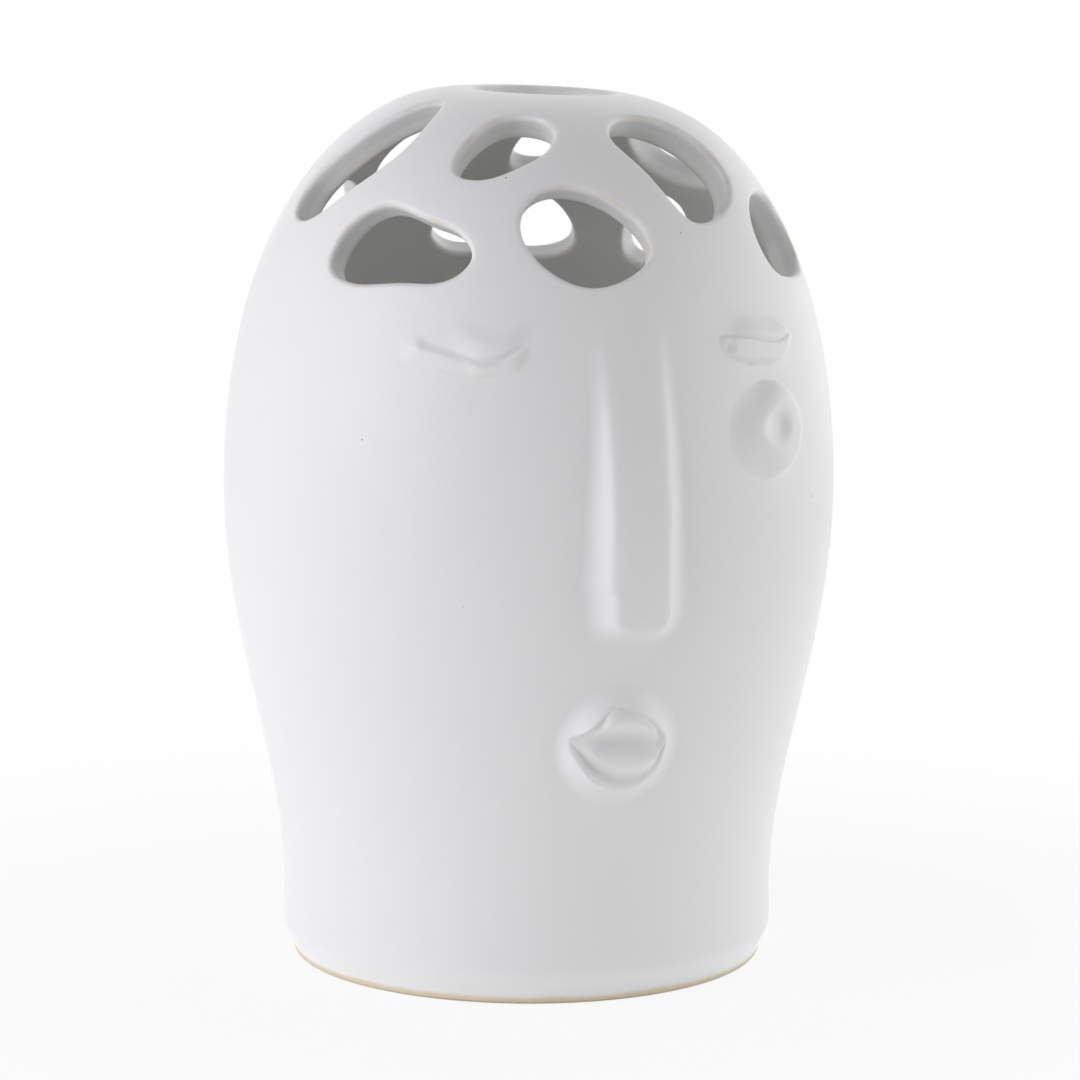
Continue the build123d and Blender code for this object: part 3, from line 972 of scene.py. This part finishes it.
def lower_lip_relief(u, z):
    """The lower lip, up to the parting."""
    v = z - boss_height
    outside = np.maximum(-within_lips(u, v), v - through(u, parting))
    return mouth_form(u, v) - eased(outside, 0.0, 0.8), lip_wear_and_shade(u, v)


press_sprig("mouth_mound", "mouth_boss", mouth_bearing, (-17.0, 17.0), (43.8, 77.8), boss_relief)
press_sprig("upper_lip_roll", "upper_lip", mouth_bearing, (-11.4, 10.8), (60.4, 70.6), upper_lip_relief)
press_sprig("lower_lip_roll", "lower_lip", mouth_bearing, (-11.4, 10.8), (51.6, 63.8), lower_lip_relief)

# Studio
# A pale table and a white surround, with soft light from large panels round the vase and a pale card
# under it, and the camera where the photograph was taken from.
photo_pixels = 1080
camera_azimuth = math.radians(-19.5)
camera_distance = 1.020
camera_height = 0.264
lens_pixels = 4456.0
camera_roll = math.radians(0.35)
aim_aside = 2.67 * mm
aim_height = 96.3 * mm

towards_camera = Vector((math.sin(camera_azimuth), -math.cos(camera_azimuth), 0.0))
camera_right = Vector((math.cos(camera_azimuth), math.sin(camera_azimuth), 0.0))
camera_data = bpy.data.cameras.new("camera")
camera_data.sensor_width = 36.0
camera_data.lens = lens_pixels * camera_data.sensor_width / photo_pixels
camera = bpy.data.objects.new("camera", camera_data)
bpy.context.collection.objects.link(camera)
camera.location = towards_camera * camera_distance + Vector((0, 0, camera_height))
aim = camera_right * aim_aside + Vector((0, 0, aim_height))
camera.rotation_mode = "QUATERNION"
looking = (aim - camera.location).to_track_quat("-Z", "Y")
camera.rotation_quaternion = looking @ Matrix.Rotation(camera_roll, 3, "Z").to_quaternion()
bpy.context.scene.camera = camera


def seen_rays(nodes, links):
    """A socket that is 1 for what the camera sees straight, in a reflection or through a glass."""
    ray = nodes.new("ShaderNodeLightPath")
    reflected = nodes.new("ShaderNodeMath")
    reflected.operation = "MAXIMUM"
    links.new(ray.outputs["Is Camera Ray"], reflected.inputs[0])
    links.new(ray.outputs["Is Glossy Ray"], reflected.inputs[1])
    passed = nodes.new("ShaderNodeMath")
    passed.operation = "MAXIMUM"
    links.new(reflected.outputs["Value"], passed.inputs[0])
    links.new(ray.outputs["Is Transmission Ray"], passed.inputs[1])
    return passed.outputs["Value"]


table_colour = (0.90, 0.90, 0.90, 1.0)
bpy.ops.object.select_all(action="DESELECT")
bpy.ops.mesh.primitive_plane_add(size=8.0)
table = bpy.context.object
table.name = "table"
table_paint = bpy.data.materials.new("pale_table")
table_paint.use_nodes = True
nodes = table_paint.node_tree.nodes
links = table_paint.node_tree.links
table_shader = nodes["Principled BSDF"]
table_shader.inputs["Base Color"].default_value = table_colour
table_shader.inputs["Roughness"].default_value = 0.9
glow = nodes.new("ShaderNodeEmission")
glow.inputs["Strength"].default_value = 1.0
place = nodes.new("ShaderNodeTexCoord")
away = nodes.new("ShaderNodeVectorMath")
away.operation = "LENGTH"
links.new(place.outputs["Object"], away.inputs[0])
whiter = nodes.new("ShaderNodeMapRange")
whiter.interpolation_type = "SMOOTHSTEP"
whiter.inputs["From Min"].default_value = 0.06
whiter.inputs["From Max"].default_value = 0.30
whiter.inputs["To Min"].default_value = 0.87
whiter.inputs["To Max"].default_value = 1.0
links.new(away.outputs["Value"], whiter.inputs["Value"])
shown = nodes.new("ShaderNodeMath")
shown.operation = "MULTIPLY"
links.new(seen_rays(nodes, links), shown.inputs[0])
links.new(whiter.outputs["Result"], shown.inputs[1])
table_mix = nodes.new("ShaderNodeMixShader")
links.new(shown.outputs["Value"], table_mix.inputs["Fac"])
links.new(table_shader.outputs["BSDF"], table_mix.inputs[1])
links.new(glow.outputs["Emission"], table_mix.inputs[2])
links.new(table_mix.outputs["Shader"], nodes["Material Output"].inputs["Surface"])
table.data.materials.append(table_paint)

ambient_beside = 0.295
ambient_above = 0.25
world = bpy.data.worlds.new("surround")
bpy.context.scene.world = world
world.use_nodes = True
nodes = world.node_tree.nodes
links = world.node_tree.links
ambient = nodes["Background"]
ambient.inputs["Color"].default_value = (0.985, 0.99, 1.0, 1.0)
sky = nodes.new("ShaderNodeTexCoord")
sky_height = nodes.new("ShaderNodeSeparateXYZ")
links.new(sky.outputs["Generated"], sky_height.inputs["Vector"])
sky_light = nodes.new("ShaderNodeMapRange")
sky_light.inputs["From Min"].default_value = 0.1
sky_light.inputs["To Min"].default_value = ambient_beside
sky_light.inputs["To Max"].default_value = ambient_above
links.new(sky_height.outputs["Z"], sky_light.inputs["Value"])
links.new(sky_light.outputs["Result"], ambient.inputs["Strength"])
backdrop = nodes.new("ShaderNodeBackground")
backdrop.inputs["Color"].default_value = (1.0, 1.0, 1.0, 1.0)
backdrop.inputs["Strength"].default_value = 1.0
surround = nodes.new("ShaderNodeMixShader")
links.new(seen_rays(nodes, links), surround.inputs["Fac"])
links.new(ambient.outputs["Background"], surround.inputs[1])
links.new(backdrop.outputs["Background"], surround.inputs[2])
links.new(surround.outputs["Shader"], nodes["World Output"].inputs["Surface"])

cool_light = (0.975, 0.965, 1.0)
plain_light = (1.0, 1.0, 1.0)


def add_panel(name, aside, ahead, height, size, power, colour, aim_height=total_height / 2):
    """A soft square light panel, placed from the camera's point of view and turned to the vase's axis."""
    data = bpy.data.lights.new(name, "AREA")
    data.shape = "SQUARE"
    data.size = size
    data.energy = power
    data.color = colour
    panel = bpy.data.objects.new(name, data)
    bpy.context.collection.objects.link(panel)
    panel.location = camera_right * aside + towards_camera * ahead + Vector((0, 0, height))
    aim = Vector((0, 0, aim_height))
    panel.rotation_mode = "QUATERNION"
    panel.rotation_quaternion = (aim - panel.location).to_track_quat("-Z", "Y")


add_panel("left_panel", -1.0, 0.0, 0.40, 1.1, 2.5, cool_light)
add_panel("left_front_panel", -0.85, 0.6, 0.50, 0.9, 4.9, cool_light)
add_panel("right_panel", 1.1, 0.0, 0.30, 1.0, 4.6, plain_light)
add_panel("right_back_panel", 0.9, -0.8, 0.40, 1.0, 3.0, plain_light)
add_panel("back_panel", 0.0, -1.1, 0.70, 1.2, 2.6, plain_light)
add_panel("table_card", 0.0, 0.0, 0.0005, 0.8, 0.38, plain_light, 10.0)

scene = bpy.context.scene
scene.view_settings.view_transform = "Standard"
